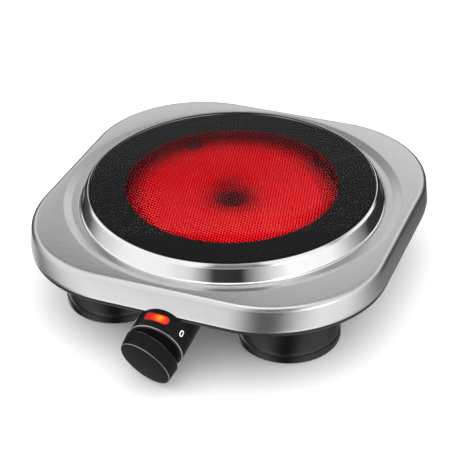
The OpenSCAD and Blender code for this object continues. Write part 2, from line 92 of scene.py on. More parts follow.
# Trim ring: a cone with a lip over the glass and a foot on the cover
TRIM_IN = 95.95 * MM
TRIM_LIP_R = 95.45 * MM
TRIM_FOOT_R = 101.3 * MM
TRIM_TOP = -0.8 * MM
TRIM_LEDGE = -4.3 * MM
TRIM_BOTTOM = -13.0 * MM

Z_COVER = -GLASS_RISE
Z_STEP = Z_COVER - STEP_DEEP
Z_SKIRT = Z_COVER - SKIRT_DEEP
Z_TABLE = cad_box[0].z

# ---------------------------------------------------------------- camera

VIEW_PITCH = radians(33.25)
VIEW_YAW = radians(22.42)
VIEW_ROLL = radians(-1.43)
VIEW_DISTANCE = 0.9872
VIEW_LENS = 117.3
AIM_RIGHT = -3.3 * MM
AIM_UP = -23.0 * MM


def make_camera():
    back = Vector((sin(VIEW_YAW) * cos(VIEW_PITCH), -cos(VIEW_YAW) * cos(VIEW_PITCH), sin(VIEW_PITCH)))
    level = Vector((cos(VIEW_YAW), sin(VIEW_YAW), 0))
    up = back.cross(level)
    right = cos(VIEW_ROLL) * level + sin(VIEW_ROLL) * up
    top = -sin(VIEW_ROLL) * level + cos(VIEW_ROLL) * up
    middle = Vector((0, 0, Z_COVER))
    data = bpy.data.cameras.new("photo_camera")
    data.lens = VIEW_LENS
    data.sensor_width = 36
    data.clip_start = 0.01
    camera = bpy.data.objects.new("photo_camera", data)
    bpy.context.scene.collection.objects.link(camera)
    place = Matrix((right, top, back)).transposed().to_4x4()
    place.translation = middle + back * VIEW_DISTANCE + right * AIM_RIGHT + top * AIM_UP
    camera.matrix_world = place
    bpy.context.scene.camera = camera


# ---------------------------------------------------------------- mesh helpers


def link(obj):
    bpy.context.scene.collection.objects.link(obj)
    return obj


def mesh_object(name, verts, faces, sharp=40):
    mesh = bpy.data.meshes.new(name)
    mesh.from_pydata([tuple(v) for v in verts], [], faces)
    mesh.validate()
    bm = bmesh.new()
    bm.from_mesh(mesh)
    bmesh.ops.recalc_face_normals(bm, faces=bm.faces)
    bm.to_mesh(mesh)
    bm.free()
    return finish_mesh(link(bpy.data.objects.new(name, mesh)), sharp)


def finish_mesh(obj, sharp=40):
    mesh = obj.data
    mesh.polygons.foreach_set("use_smooth", [True] * len(mesh.polygons))
    mesh.set_sharp_from_angle(angle=radians(sharp))
    return obj


def fillet(points, steps=5):
    """A closed outline of (x, z, radius) corners, with each corner turned into an arc."""
    out = []
    n = len(points)
    for i, (x, z, r) in enumerate(points):
        here = Vector((x, z))
        if r <= 0:
            out.append(here)
            continue
        before = Vector(points[i - 1][:2]) - here
        after = Vector(points[(i + 1) % n][:2]) - here
        half = before.angle(after) / 2
        reach = r / tan(half)
        a = here + before.normalized() * reach
        b = here + after.normalized() * reach
        middle = here + (before.normalized() + after.normalized()).normalized() * (r / sin(half))
        for k in range(steps + 1):
            t = k / steps
            chord = a.lerp(b, t) - middle
            out.append(middle + chord.normalized() * r)
    return out


def lathe(name, profile, n=192, place=None, shear=None, sharp=40):
    """Turns a closed (radius, height) profile round the Z axis, then places it."""
    verts, faces = [], []
    rows = []
    for r, z in profile:
        if r < 1e-7:
            rows.append([len(verts)] * n)
            verts.append(Vector((0, 0, z)))
            continue
        rows.append(list(range(len(verts), len(verts) + n)))
        for k in range(n):
            a = 2 * pi * k / n
            verts.append(Vector((r * cos(a), r * sin(a), z)))
    for i in range(len(rows)):
        upper, lower = rows[i], rows[(i + 1) % len(rows)]
        for k in range(n):
            j = (k + 1) % n
            quad = [upper[k], upper[j], lower[j], lower[k]]
            face = [v for m, v in enumerate(quad) if v not in quad[:m]]
            if len(face) > 2:
                faces.append(face)
    if shear:
        verts = [shear(v) for v in verts]
    if place:
        verts = [place @ v for v in verts]
    return mesh_object(name, verts, faces, sharp)


def box_mesh(name, low, high):
    xs, ys, zs = zip(low, high)
    corners = [Vector((x, y, z)) for x in xs for y in ys for z in zs]
    faces = [(0, 1, 3, 2), (4, 6, 7, 5), (0, 4, 5, 1), (2, 3, 7, 6), (0, 2, 6, 4), (1, 5, 7, 3)]
    return mesh_object(name, corners, faces)


def carve(obj, cutter, operation="DIFFERENCE", sharp=40):
    """Cuts or joins cutter into obj for good, and removes the cutter."""
    change = obj.modifiers.new("carve", "BOOLEAN")
    change.object = cutter
    change.operation = operation
    change.solver = "EXACT"
    bpy.context.view_layer.update()
    mesh = bpy.data.meshes.new_from_object(obj.evaluated_get(bpy.context.evaluated_depsgraph_get()))
    obj.modifiers.clear()
    obj.data = mesh
    bpy.data.objects.remove(cutter)
    return finish_mesh(obj, sharp)


# ---------------------------------------------------------------- control frame

joint = frame["joints"][0]
CONTROL_AT = Vector(joint["pos_m"])
FORWARD = -Vector(joint["axis"]).normalized()
SIDE = Vector((0, 0, 1)).cross(FORWARD).normalized()
LIFT = FORWARD.cross(SIDE)
CONTROL = Matrix((SIDE, LIFT, FORWARD)).transposed().to_4x4()
CONTROL.translation = CONTROL_AT

HOUSING_R = 18.25 * MM
COLLAR_FRONT = 11.15 * MM
HOUSING_BACK = -36 * MM
KNOB_REAR = 15.3 * MM
KNOB_FRONT = 25.9 * MM
KNOB_R = 18.7 * MM
KNOB_TIP_R = 17.9 * MM
# Half width of the band round each rim that carries the painted highlight
RIM_BAND = 0.45 * MM
SLANT = tan(radians(11.4))
SLANT_TO = radians(25)

LENS_ALONG = 2.9 * MM
LENS_HALF_W = 3.0 * MM
LENS_HALF_L = 8.2 * MM
LENS_RISE = 0.34 * MM
# The neon bulb behind the lens, for the glow painted on the lens: how far it sits to the side of the middle,
# and how far its light reaches
BULB_OFF = 2.6 * MM
BULB_HALF_L = 6.5 * MM
BULB_REACH = 7.5 * MM


# ---------------------------------------------------------------- material helpers


class Nodes:
    """Builds a node tree piece by piece."""

    def node(self, kind, *inputs, **settings):
        made = self.tree.nodes.new(kind)
        for key, value in settings.items():
            setattr(made, key, value)
        for socket, value in zip(made.inputs, inputs):
            self.put(socket, value)
        return made

    def put(self, socket, value):
        if isinstance(value, bpy.types.NodeSocket):
            self.tree.links.new(value, socket)
        elif value is not None:
            socket.default_value = value

    def stretch(self, scale):
        made = self.node("ShaderNodeMapping", self.where)
        made.inputs["Scale"].default_value = scale
        return made.outputs[0]

    def noise(self, vector, scale=1.0, detail=3.0, rough=0.6):
        made = self.node("ShaderNodeTexNoise")
        self.put(made.inputs["Vector"], vector)
        made.inputs["Scale"].default_value = scale
        made.inputs["Detail"].default_value = detail
        made.inputs["Roughness"].default_value = rough
        return made.outputs["Fac"]

    def math(self, operation, a, b=None, c=None, clamp=False):
        return self.node("ShaderNodeMath", a, b, c, operation=operation, use_clamp=clamp).outputs[0]

    def span(self, value, low, high, to_low, to_high):
        return self.node("ShaderNodeMapRange", value, low, high, to_low, to_high).outputs[0]

    def ramp(self, value, *stops):
        made = self.node("ShaderNodeValToRGB", value)
        band = made.color_ramp
        while len(band.elements) < len(stops):
            band.elements.new(0.5)
        for element, (at, colour) in zip(band.elements, stops):
            element.position = at
            element.color = (*colour, 1)
        return made.outputs[0]

    def bump(self, height, distance, strength=1.0):
        made = self.node("ShaderNodeBump")
        made.inputs["Strength"].default_value = strength
        made.inputs["Distance"].default_value = distance
        self.put(made.inputs["Height"], height)
        self.put(self.main.inputs["Normal"], made.outputs[0])

    def along(self, vector, direction):
        made = self.node("ShaderNodeVectorMath", vector, tuple(direction), operation="DOT_PRODUCT")
        return made.outputs["Value"]

    def line(self, value):
        """value as a position on a line, for a noise that changes one way only."""
        return self.node("ShaderNodeCombineXYZ", value, 0.0, 0.0).outputs[0]

    def radius(self):
        """Distance from the Z axis."""
        flat = self.node("ShaderNodeVectorMath", self.where, (1, 1, 0), operation="MULTIPLY").outputs[0]
        return self.node("ShaderNodeVectorMath", flat, operation="LENGTH").outputs["Value"]


class Shade(Nodes):
    """A Principled material."""

    def __init__(self, name, **values):
        self.mat = bpy.data.materials.new(name)
        self.mat.use_nodes = True
        self.tree = self.mat.node_tree
        self.main = self.tree.nodes["Principled BSDF"]
        for key, value in values.items():
            self.main.inputs[key.replace("_", " ")].default_value = value
        self.where = self.node("ShaderNodeTexCoord").outputs["Object"]

    def set(self, **links):
        for key, value in links.items():
            self.put(self.main.inputs[key.replace("_", " ")], value)
        return self


def brushed_steel():
    """Satin sheet brushed from side to side: short fine scratches along X."""
    s = Shade("brushed_cover", Metallic=1.0, Anisotropic=0.35)
    fine = s.noise(s.stretch((220, 4200, 4200)), 1.0, 3.0, 0.7)
    broad = s.noise(s.stretch((60, 900, 900)), 1.0, 2.0, 0.5)
    both = s.math("MULTIPLY_ADD", broad, 0.35, s.math("MULTIPLY", fine, 0.65))
    s.set(Base_Color=s.ramp(both, (0.30, (0.595, 0.595, 0.597)), (0.70, (0.65, 0.65, 0.65))),
          Roughness=s.span(both, 0.3, 0.7, 0.26, 0.31))
    s.set(Tangent=s.node("ShaderNodeCombineXYZ", 0.0, 1.0, 0.0).outputs[0])
    s.bump(both, 0.000006, 0.5)
    return s.mat


def polished_trim():
    """Bright turned steel: faint rings from the lathe round the axis."""
    s = Shade("polished_trim", Metallic=1.0)
    out = s.radius()
    rings = s.noise(s.line(s.math("MULTIPLY", out, 4200)), 1.0, 2.0)
    height = s.node("ShaderNodeSeparateXYZ", s.where).outputs[2]
    turned = s.noise(s.line(s.math("MULTIPLY", height, 3800)), 1.0, 2.0)
    both = s.math("MULTIPLY_ADD", rings, 0.5, s.math("MULTIPLY", turned, 0.5))
    smear = s.noise(s.where, 40, 3.0)
    s.set(Base_Color=s.ramp(smear, (0.3, (0.74, 0.74, 0.745)), (0.7, (0.82, 0.82, 0.82))),
          Roughness=s.span(both, 0.3, 0.7, 0.06, 0.11))
    s.bump(both, 0.000006, 0.5)
    return s.mat


def hob_glass():
    """Clear glass-ceramic with a soft, weak sheen: the print and the heater show through it."""
    s = Shade("hob_glass", Roughness=0.03, IOR=GLASS_IOR, Transmission_Weight=1.0, Specular_Tint=(0, 0, 0, 1))
    smear = s.noise(s.where, 25, 3.0)
    s.set(Base_Color=s.ramp(smear, (0.35, (0.97, 0.97, 0.97)), (0.65, (1.0, 1.0, 1.0))))
    through = s.node("ShaderNodeBsdfRefraction", (1, 1, 1, 1), 0.0, GLASS_IOR)
    blend = s.node("ShaderNodeMixShader", GLASS_DULL)
    s.put(blend.inputs[1], s.main.outputs[0])
    s.put(blend.inputs[2], through.outputs[0])
    s.put(s.tree.nodes["Material Output"].inputs[0], blend.outputs[0])
    return s.mat


def mask_ink():
    """Black print. Its faint even grey is painted light: a glow of its own stands in for the studio light
    that comes back through the glass.
    """
    s = Shade("mask_ink", Roughness=0.55, Specular_IOR_Level=0.0, Emission_Strength=1.0)
    speck = s.noise(s.where, 1500, 3.0)
    # Painted light: the emission is the grey that studio light would give the ink through the glass
    s.set(Base_Color=s.ramp(speck, (0.35, (0.0005, 0.0005, 0.0005)), (0.65, (0.0010, 0.0010, 0.0010))),
          Emission_Color=s.ramp(speck, (0.35, (0.0135, 0.0135, 0.0135)), (0.65, (0.0150, 0.0150, 0.0150))))
    s.bump(speck, 0.00002, 0.3)
    return s.mat


# Lattice of the printed mesh: cycles per metre along X and Y, for its two directions
MESH_A = (530, 130)
MESH_B = (95, 415)


def mesh_ink():
    """A dark red print with a lattice of clear dots that the glow shows through."""
    s = Shade("mesh_ink", Roughness=0.6, Specular_IOR_Level=0.0)
    axes = s.node("ShaderNodeSeparateXYZ", s.where)
    waves = []
    for fx, fy in (MESH_A, MESH_B):
        second = s.math("MULTIPLY", axes.outputs[1], 2 * pi * fy)
        phase = s.math("MULTIPLY_ADD", axes.outputs[0], 2 * pi * fx, second)
        waves.append(s.math("COSINE", phase))
    lattice = s.math("ADD", waves[0], waves[1])
    speck = s.noise(s.where, 900, 2.0)
    s.set(Base_Color=s.ramp(speck, (0.3, (0.020, 0.0005, 0.0010)), (0.7, (0.030, 0.0010, 0.0015))))
    clear = s.node("ShaderNodeBsdfTransparent")
    blend = s.node("ShaderNodeMixShader")
    s.put(blend.inputs[0], s.span(lattice, -0.9, 0.9, 0.78, 0.0))
    s.put(blend.inputs[1], clear.outputs[0])
    s.put(blend.inputs[2], s.main.outputs[0])
    s.put(s.tree.nodes["Material Output"].inputs[0], blend.outputs[0])
    return s.mat


# Glow of the heater's floor against the distance from its middle: the ribbon's own glow, and painted light on
# the board it lies on
GLOW = ((0.0, 0.04), (0.10, 0.07), (0.24, 0.72), (0.36, 1.0), (0.78, 1.0), (0.90, 0.45), (1.0, 0.05))
GLOW_RED = (1.26, 0.008, 0.016)
# The glow grows towards the right (x) and the front (-y), per metre; on the board this too is painted light
GLOW_TILT = (2.2, -2.6)


# Emission of the heater: the coil's own glow on the ribbon, painted light on the board
def coil_glow(s, gain):
    share = s.math("DIVIDE", s.radius(), WINDOW_R, clamp=True)
    s.set(Emission_Color=s.ramp(share, *((at, tuple(c * level for c in GLOW_RED)) for at, level in GLOW)))
    axes = s.node("ShaderNodeSeparateXYZ", s.where).outputs
    tilt = s.math("MULTIPLY_ADD", axes[0], GLOW_TILT[0], s.math("MULTIPLY_ADD", axes[1], GLOW_TILT[1], 1.0))
    s.set(Emission_Strength=s.math("MULTIPLY", tilt, gain))


def board_painted_glow():
    """Pressed insulation board. Its glow is painted light: the light of the red-hot coil lying on it is given
    to the board as its own emission.
    """
    s = Shade("board_painted_glow", Roughness=0.9, Specular_IOR_Level=0.0)
    speck = s.noise(s.where, 600, 4.0)
    s.set(Base_Color=s.ramp(speck, (0.3, (0.030, 0.0010, 0.0015)), (0.7, (0.045, 0.0015, 0.0020))))
    s.bump(speck, 0.0002, 0.4)
    coil_glow(s, 1.0)
    return s.mat


def insulation_wall_painted_glow():
    """The rim of the same board. Its glow is painted light: a dim red emission, brighter towards the top, for
    the coil's light on it.
    """
    s = Shade("insulation_wall_painted_glow", Roughness=0.9, Specular_IOR_Level=0.0)
    speck = s.noise(s.where, 600, 4.0)
    s.set(Base_Color=s.ramp(speck, (0.3, (0.020, 0.0010, 0.0015)), (0.7, (0.030, 0.0015, 0.0020))))
    s.bump(speck, 0.0002, 0.4)
    height = s.node("ShaderNodeSeparateXYZ", s.where).outputs[2]
    # Painted light: the wall's emission grows from the heater's floor up towards the glass
    share = s.span(height, -COIL_DEEP, -GLASS_THICK, 0.0, 1.0)
    s.set(Emission_Color=s.ramp(share, (0.0, (0.035, 0.0, 0.001)), (0.4, (0.055, 0.0, 0.001)),
                                (0.75, (0.15, 0.001, 0.002)), (1.0, (0.20, 0.001, 0.002))))
    s.main.inputs["Emission Strength"].default_value = 1.0
    return s.mat


def hot_ribbon():
    s = Shade("hot_ribbon", Roughness=0.7, Specular_IOR_Level=0.0)
    speck = s.noise(s.where, 300, 3.0)
    s.set(Base_Color=s.ramp(speck, (0.3, (0.030, 0.0010, 0.0015)), (0.7, (0.045, 0.0015, 0.0020))))
    coil_glow(s, 1.06)
    return s.mat


def black_plastic(name, shine, tone=0.006, ribs=0, gloss=0.08, dome=0.0):
    """Black moulded plastic with a fine spark-eroded grain.

    ribs is how many fine ribs go round the control's axis. dome is the shine of a foot above its band.
    """
    s = Shade(name, Specular_IOR_Level=gloss)
    fine = s.noise(s.where, 1400, 4.0, 0.7)
    wear = s.noise(s.where, 60, 3.0)
    s.set(Base_Color=s.ramp(wear, (0.3, (tone * 0.8,) * 3), (0.7, (tone * 1.3,) * 3)),
          Roughness=s.span(fine, 0.35, 0.65, shine - 0.05, shine + 0.07))
    if dome:
        level = s.node("ShaderNodeSeparateXYZ", s.where).outputs[2]
        edge = Z_FOOT + FOOT_BAND
        s.set(Specular_IOR_Level=s.span(level, edge - 0.1 * MM, edge + 0.3 * MM, gloss, dome))
    height = fine
    if ribs:
        off = s.node("ShaderNodeVectorMath", s.where, tuple(-CONTROL_AT), operation="ADD").outputs[0]
        level = s.along(off, SIDE)
        upward = s.along(off, LIFT)
        turn = s.math("ARCTAN2", upward, level)
        reach = s.math("SQRT", s.math("ADD", s.math("POWER", level, 2.0), s.math("POWER", upward, 2.0)))
        rim = s.math("GREATER_THAN", reach, KNOB_TIP_R - 0.4 * MM)
        wave = s.math("MULTIPLY", s.math("SINE", s.math("MULTIPLY", turn, float(ribs))), rim)
        height = s.math("MULTIPLY_ADD", wave, 1.6, fine)
    s.bump(height, 0.00004, 0.5)
    return s.mat


def edge_sheen(name):
    """Painted highlight: a light grey, nearly metal finish on the rounded rims of the collar and the knob,
    for the light that catches them.
    """
    s = Shade(name, Metallic=0.85, Specular_IOR_Level=0.5)
    turned = s.noise(s.where, 900, 3.0)
    s.set(Base_Color=s.ramp(turned, (0.3, (0.30, 0.30, 0.30)), (0.7, (0.40, 0.40, 0.40))),
          Roughness=s.span(turned, 0.3, 0.7, 0.26, 0.38))
    return s.mat


def enamel():
    s = Shade("black_enamel", Roughness=0.35)
    peel = s.noise(s.where, 350, 2.0)
    s.set(Base_Color=s.ramp(peel, (0.3, (0.010, 0.010, 0.010)), (0.7, (0.016, 0.016, 0.016))),
          Roughness=s.span(peel, 0.3, 0.7, 0.3, 0.42))
    s.bump(peel, 0.00006, 0.3)
    return s.mat


def rubber(name, colour):
    s = Shade(name, Specular_IOR_Level=0.3)
    dust = s.noise(s.where, 800, 4.0)
    worn = tuple(1.2 * c + 0.003 for c in colour)
    s.set(Base_Color=s.ramp(dust, (0.3, tuple(0.8 * c for c in colour)), (0.7, worn)),
          Roughness=s.span(dust, 0.3, 0.7, 0.6, 0.8))
    s.bump(dust, 0.00006, 0.4)
    return s.mat


def plated(name, low, high, rough=0.3, scale=500):
    """Zinc-plated sheet or hardware: mottled, a little dull."""
    s = Shade(name, Metallic=1.0)
    spangle = s.noise(s.where, scale, 4.0, 0.7)
    s.set(Base_Color=s.ramp(spangle, (0.3, low), (0.7, high)),
          Roughness=s.span(spangle, 0.3, 0.7, rough - 0.06, rough + 0.12))
    s.bump(spangle, 0.00002, 0.3)
    return s.mat


def ceramic():
    s = Shade("steatite", Roughness=0.55)
    speck = s.noise(s.where, 900, 4.0)
    s.set(Base_Color=s.ramp(speck, (0.3, (0.66, 0.62, 0.54)), (0.7, (0.78, 0.74, 0.66))))
    s.bump(speck, 0.00005, 0.3)
    return s.mat


def white_print():
    s = Shade("white_print", Roughness=0.5)
    speck = s.noise(s.where, 3000, 3.0)
    s.set(Base_Color=s.ramp(speck, (0.3, (0.84, 0.84, 0.84)), (0.7, (0.95, 0.95, 0.95))))
    return s.mat


def lens_painted_glow(centre, across, middle):
    """Clear red plastic. The neon bulb's light through it is painted as its own glow: brightest a little off
    its middle, darker towards its ends and long edges.
    """
    s = Shade("lens_painted_glow", Roughness=0.25, Specular_IOR_Level=0.2)
    off = s.node("ShaderNodeVectorMath", s.where, tuple(-c for c in centre), operation="ADD").outputs[0]
    along = s.math("MULTIPLY", s.along(off, across), 1 / BULB_HALF_L)
    reach = s.node("ShaderNodeVectorMath", off, operation="LENGTH").outputs["Value"]
    ends = s.math("MULTIPLY", s.math("ABSOLUTE", along), 0.15)
    spread = s.math("MULTIPLY_ADD", s.math("MULTIPLY", reach, 1 / BULB_REACH), 0.85, ends)
    ripple = s.noise(s.stretch((500, 500, 500)), 1.0, 2.0)
    place = s.math("MULTIPLY_ADD", s.math("SUBTRACT", ripple, 0.5), 0.35, spread)
    width = s.node("ShaderNodeVectorMath", s.where, tuple(-c for c in middle), operation="ADD").outputs[0]
    width = s.along(width, FORWARD)
    rim = s.math("POWER", s.math("ABSOLUTE", s.math("MULTIPLY", width, 1 / LENS_HALF_W)), 3.0)
    place = s.math("MULTIPLY_ADD", rim, 0.38, place)
    # Painted light: orange where the bulb shines through, deep red towards the ends and long edges
    glow = s.ramp(place, (0.05, (1.0, 0.40, 0.012)), (0.35, (1.0, 0.16, 0.006)), (0.60, (0.82, 0.018, 0.004)),
                  (0.9, (0.50, 0.004, 0.004)), (1.0, (0.22, 0.002, 0.002)))
    s.set(Base_Color=s.ramp(ripple, (0.3, (0.20, 0.004, 0.004)), (0.7, (0.26, 0.006, 0.004))),
          Emission_Color=glow)
    s.main.inputs["Emission Strength"].default_value = 0.90
    return s.mat


def neon_glow():
    s = Shade("neon_glow", Roughness=0.2)
    flick = s.noise(s.where, 400, 2.0)
    s.set(Base_Color=s.ramp(flick, (0.3, (0.8, 0.3, 0.1)), (0.7, (0.9, 0.4, 0.15))),
          Emission_Color=s.ramp(flick, (0.3, (1.0, 0.25, 0.03)), (0.7, (1.0, 0.4, 0.06))))
    s.main.inputs["Emission Strength"].default_value = 3.0
    return s.mat


# ---------------------------------------------------------------- cover


def square_path(corner_steps=24, side_steps=6):
    """Points of the cover's outline as (arc centre, outward direction), evenly round it."""
    reach = COVER_HALF - COVER_CORNER
    path = []
    for quarter in range(4):
        turn = Matrix.Rotation(quarter * pi / 2, 2)
        centre = turn @ Vector((reach, reach))
        for k in range(corner_steps + 1):
            a = quarter * pi / 2 + (pi / 2) * k / corner_steps
            path.append((centre, Vector((cos(a), sin(a)))))
        following = turn @ Vector((-reach, reach))
        outward = Vector((cos(a), sin(a)))
        for k in range(1, side_steps):
            path.append((centre.lerp(following, k / side_steps), outward))
    return path


def top_cover():
    """One pressed sheet: rim and skirt follow the square, the step and the hole follow the circle."""
    path = square_path(corner_steps=40, side_steps=16)
    edge = COVER_CORNER
    inner = edge - COVER_EDGE
    arc = 8
    outside, inside = [], []
    tight = COVER_EDGE - SHEET
    for k in range(arc + 1):
        a = radians(90 - 87 * k / arc)
        outside.append((inner + COVER_EDGE * cos(a), Z_COVER - COVER_EDGE + COVER_EDGE * sin(a)))
        inside.append((inner + tight * cos(a), Z_COVER - COVER_EDGE + tight * sin(a)))
    foot = edge + SKIRT_FLARE
    hem = SHEET / 2
    outside += [(foot - 0.1 * MM, Z_SKIRT + 2 * MM), (foot, Z_SKIRT + hem),
                (foot - 0.12 * MM, Z_SKIRT + 0.1 * MM)]
    inside += [(foot - SHEET - 0.1 * MM, Z_SKIRT + 2 * MM), (foot - SHEET, Z_SKIRT + hem),
               (foot - SHEET + 0.12 * MM, Z_SKIRT + 0.1 * MM)]
    outside.append((foot - SHEET / 2, Z_SKIRT))

    def round_part(drop):
        lip = 1.4 * MM
        points = [(STEP_R + 1.0 * MM, Z_COVER - drop), (STEP_R + 0.3 * MM, Z_COVER - drop - 0.02 * MM),
                  (STEP_R - 0.4 * MM, Z_COVER - drop - 0.22 * MM),
                  (STEP_IN + 0.5 * MM, Z_STEP - drop + 0.22 * MM),
                  (STEP_IN - 0.2 * MM, Z_STEP - drop + 0.02 * MM), (STEP_IN - 0.9 * MM, Z_STEP - drop),
                  (LIP_R + lip + drop + 0.6 * MM, Z_STEP - drop)]
        for k in range(7):
            a = radians(90 + 90 * k / 6)
            points.append((LIP_R + lip + lip * cos(a), Z_STEP - lip - drop + lip * sin(a)))
        return points

    top_round = round_part(0)
    low_round = round_part(SHEET)
    verts, loops = [], []

    def square_loop(u, z):
        loops.append(list(range(len(verts), len(verts) + len(path))))
        for centre, out in path:
            p = centre + out * u
            verts.append(Vector((p.x, p.y, z)))

    def circle_loop(r, z):
        loops.append(list(range(len(verts), len(verts) + len(path))))
        for centre, out in path:
            p = centre + out * edge
            a = atan2(p.y, p.x)
            verts.append(Vector((r * cos(a), r * sin(a), z)))

    circle_loop(FLANGE_R, Z_STEP - 1.4 * MM)
    for r, z in reversed(top_round):
        circle_loop(r, z)
    for u, z in outside:
        square_loop(u, z)
    for u, z in reversed(inside):
        square_loop(u, z)
    for r, z in low_round:
        if r > LIP_R + 1.45 * MM:
            circle_loop(r, z)
    circle_loop(LIP_R + SHEET, Z_STEP - 2.0 * MM)
    circle_loop(LIP_R + SHEET, Z_STEP - 1.4 * MM - SHEET)
    circle_loop(FLANGE_R, Z_STEP - 1.4 * MM - SHEET)
    faces = []
    count = len(path)
    for i in range(len(loops)):
        a, b = loops[i], loops[(i + 1) % len(loops)]
        for k in range(count):
            j = (k + 1) % count
            faces.append((a[k], a[j], b[j], b[k]))
    cover = mesh_object("cover_sheet", verts, faces, sharp=35)
    notch = lathe("notch", [Vector((0, -10 * MM)), Vector((HOUSING_R + 0.3 * MM, -10 * MM)),
                            Vector((HOUSING_R + 0.3 * MM, 30 * MM)), Vector((0, 30 * MM))], 128, CONTROL)
    return carve(cover, notch, sharp=35)


def slant(v):
    """Leans a turned shape's ends over, and leaves its sides along the axis."""
    return Vector((v.x, v.y, v.z + SLANT * (v.x * cos(SLANT_TO) + v.y * sin(SLANT_TO))))


def own(obj, node, material, body="housing"):
    """obj takes the place of a CAD node, with the given material, on the given body."""
    obj.data.materials.clear()
    obj.data.materials.append(material)
    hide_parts(node)
    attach(obj, body)
    return obj


def trim_ring():
    profile = fillet([
        (TRIM_IN, TRIM_BOTTOM, 0.1 * MM), (TRIM_FOOT_R, TRIM_BOTTOM, 0.1 * MM),
        (TRIM_FOOT_R, -12.2 * MM, 0.5 * MM), (100.3 * MM, -11.6 * MM, 1.0 * MM),
        (97.9 * MM, -3.2 * MM, 0.8 * MM), (97.2 * MM, -2.0 * MM, 0.5 * MM),
        (95.9 * MM, TRIM_TOP, 0.3 * MM), (TRIM_LIP_R, TRIM_TOP, 0.1 * MM),
        (TRIM_LIP_R, TRIM_LEDGE, 0.1 * MM), (TRIM_IN, TRIM_LEDGE, 0.1 * MM)], 6)
    return lathe("trim_ring_turned", profile, 256)


def glass_plate():
    profile = fillet([
        (0, -GLASS_THICK, 0), (GLASS_R, -GLASS_THICK, 0.5 * MM), (GLASS_R, 0, 0.9 * MM), (0, 0, 0)], 5)
    return lathe("glass_ceramic_plate", profile, 256)


def blacken_edge(plate, edge):
    """The ground edge of the plate is inked, so that no light gets in from the side."""
    plate.data.materials.append(edge)
    for face in plate.data.polygons:
        at = face.center
        if sqrt(at.x ** 2 + at.y ** 2) > GLASS_R - 0.35 * MM:
            face.material_index = 1


FOOT_AT = (60.5 * MM, 58.5 * MM)
FOOT_R = 33.6 * MM
FOOT_BAND = 5.4 * MM
FOOT_GAP = 0.7 * MM
FOOT_TOP_R = 24.5 * MM
FOOT_WALL = 2.6 * MM
FOOT_TOP_THICK = 4 * MM
BOLT_HOLE_R = 2.6 * MM
PAD_IN = 24 * MM
PAD_OUT = 31 * MM
PAD_DEEP = 1.4 * MM
PAD_PLAY = 0.05 * MM
Z_PAN = -28.7 * MM
Z_FOOT = Z_TABLE + FOOT_GAP


def foot_dome():
    """The bell's outside as (radius, height), from the band up to the base plate."""
    dome_r = FOOT_R - 0.4 * MM
    turn = acos(FOOT_TOP_R / dome_r)
    rise = (Z_PAN - Z_FOOT - FOOT_BAND) / sin(turn)
    return [(dome_r * cos(turn * i / 20), Z_FOOT + FOOT_BAND + rise * sin(turn * i / 20)) for i in range(21)]


def foot(name, x, y):
    hollow = FOOT_TOP_R - FOOT_WALL
    band = fillet([
        (hollow, Z_FOOT, 0.3 * MM), (PAD_IN, Z_FOOT, 0.2 * MM), (PAD_IN, Z_FOOT + PAD_DEEP, 0),
        (PAD_OUT, Z_FOOT + PAD_DEEP, 0), (PAD_OUT, Z_FOOT, 0.2 * MM),
        (FOOT_R, Z_FOOT, 0.7 * MM), (FOOT_R, Z_FOOT + FOOT_BAND - 0.1 * MM, 0.5 * MM),
        (FOOT_R - 0.9 * MM, Z_FOOT + FOOT_BAND, 0.15 * MM)], 4)
    dome = [Vector(p) for p in foot_dome()[1:]]
    ceiling = Z_PAN - FOOT_TOP_THICK
    inner = [Vector((BOLT_HOLE_R, Z_PAN)), Vector((BOLT_HOLE_R, ceiling)), Vector((hollow, ceiling))]
    return lathe(name, band + dome + inner, 160, Matrix.Translation((x, y, 0)), sharp=38)


def foot_pad(name, x, y):
    profile = fillet([
        (PAD_IN + PAD_PLAY, Z_TABLE, 0.3 * MM), (PAD_OUT - PAD_PLAY, Z_TABLE, 0.3 * MM),
        (PAD_OUT - PAD_PLAY, Z_FOOT + PAD_DEEP, 0), (PAD_IN + PAD_PLAY, Z_FOOT + PAD_DEEP, 0)], 4)
    return lathe(name, profile, 96, Matrix.Translation((x, y, 0)))


def dress_rims(obj, finish, lean=0.0, rims=()):
    """Gives the rounded corner at each (along, radius) of a piece of the control the painted highlight
    material.
    """
    obj.data.materials.append(finish)
    home = CONTROL.inverted()
    for face in obj.data.polygons:
        at = home @ face.center
        along = at.z - lean * (at.x * cos(SLANT_TO) + at.y * sin(SLANT_TO))
        reach = sqrt(at.x ** 2 + at.y ** 2)
        for place, radius in rims:
            if abs(along - place) < RIM_BAND and abs(reach - radius) < RIM_BAND:
                face.material_index = 1
    return obj


def knob_shell():
    wall = 2.1 * MM
    profile = fillet([
        (0, KNOB_FRONT, 0), (KNOB_TIP_R, KNOB_FRONT, 0.8 * MM), (KNOB_R, KNOB_REAR, 0.7 * MM),
        (KNOB_R - wall, KNOB_REAR, 0.5 * MM), (KNOB_TIP_R - wall, KNOB_FRONT - wall, 1.0 * MM),
        (0, KNOB_FRONT - wall, 0)], 6)
    return lathe("knob_cap", profile, 160, CONTROL, slant)


